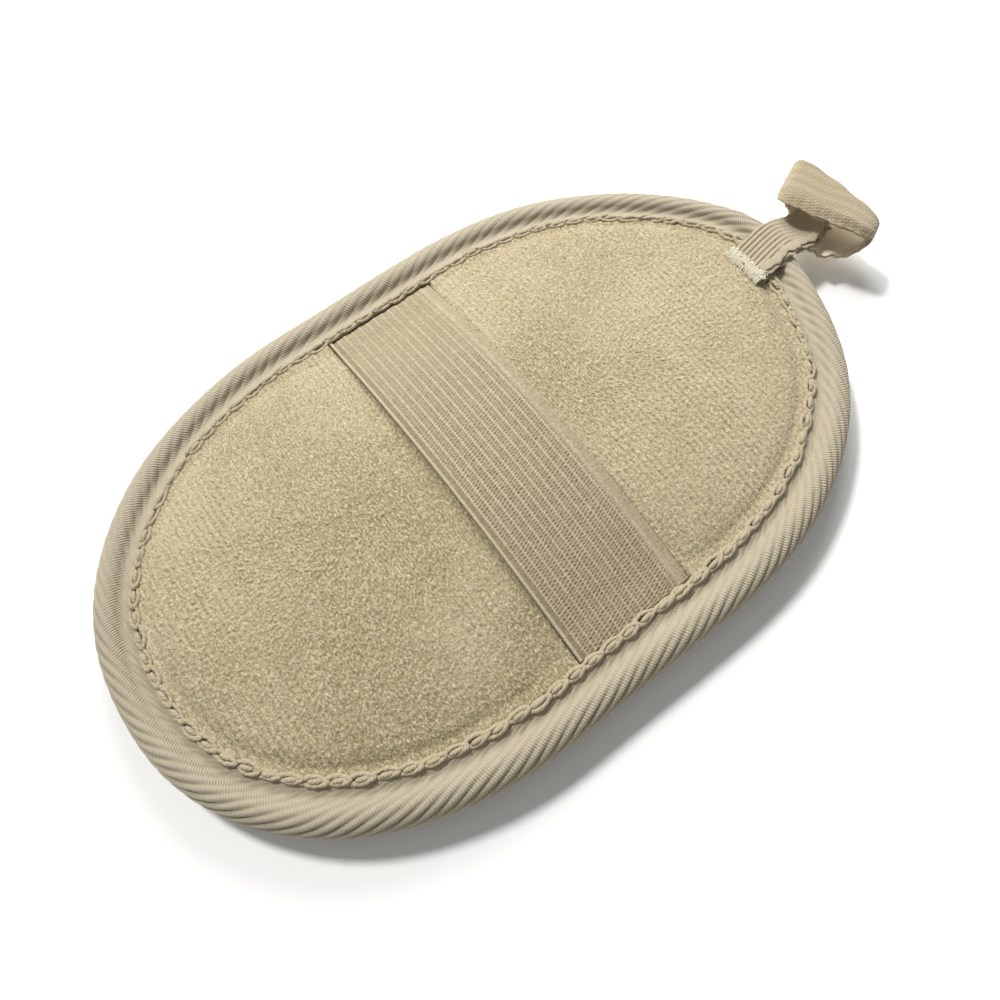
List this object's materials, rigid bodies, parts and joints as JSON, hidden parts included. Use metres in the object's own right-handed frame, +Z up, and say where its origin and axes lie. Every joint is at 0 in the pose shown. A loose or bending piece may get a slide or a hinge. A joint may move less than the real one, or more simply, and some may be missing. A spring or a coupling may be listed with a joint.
{
  "type": "loofah back scrubber",
  "caption": "Oval back scrubber pad with a loofah face, a terry back, a ribbed cotton edge binding, an elastic hand strap and a hanging loop.",
  "frame": {"origin": "middle of the loofah face at the bottom of the pad, where it lies on a flat surface", "axes": "+X along the long axis towards the hanging loop, +Y across the pad along the hand strap, +Z up from the loofah face to the terry face"},
  "size_m": [0.2067, 0.1148, 0.0174],
  "materials": {
    "loofah": "open fibrous luffa",
    "foam": "soft open-cell foam",
    "terry": "low-pile terry",
    "cotton_tape": "ribbed twill tape",
    "thread": "soft cotton thread",
    "elastic": "ribbed knitted elastic",
    "rubber": "matt"
  },
  "bodies": {
    "pad": {"loofah_face": "loofah", "foam_core": "foam", "terry_back_panel": "terry", "edge_binding": "cotton_tape", "chain_stitch_looper_thread": "thread", "chain_stitch_needle_thread": "thread", "strap_sewn_end_near": "elastic", "strap_sewn_end_far": "elastic", "strap_tack_stitches_near": "thread", "strap_tack_stitches_far": "thread", "hanging_loop_sewn_tail": "cotton_tape", "hanging_loop_bartack": "thread"},
    "hand_strap": {"hand_strap_web": "elastic", "hand_strap_rubber_threads": "rubber"},
    "loop_legs": {"hanging_loop_legs": "cotton_tape"},
    "loop_ring": {"hanging_loop_ring": "cotton_tape"}
  },
  "joints": [
    {"name": "strap_lift", "type": "slide", "parent": "pad", "child": "hand_strap", "axis": [0, 0, 1], "range_m": [0, 0.028], "stiffness_N_per_m": 260, "springref_m": -0.003},
    {"name": "loop_swing", "type": "hinge", "parent": "pad", "child": "loop_legs", "pos_m": [0.0895, 0.0011, 0.0123], "axis": [0, -1, 0], "range_deg": [0, 135]},
    {"name": "loop_twist", "type": "hinge", "parent": "loop_legs", "child": "loop_ring", "pos_m": [0.101, 0.0018, 0.009], "axis": [1, 0, 0], "range_deg": [-30, 30], "stiffness_Nm_per_rad": 0.004}
  ]
}
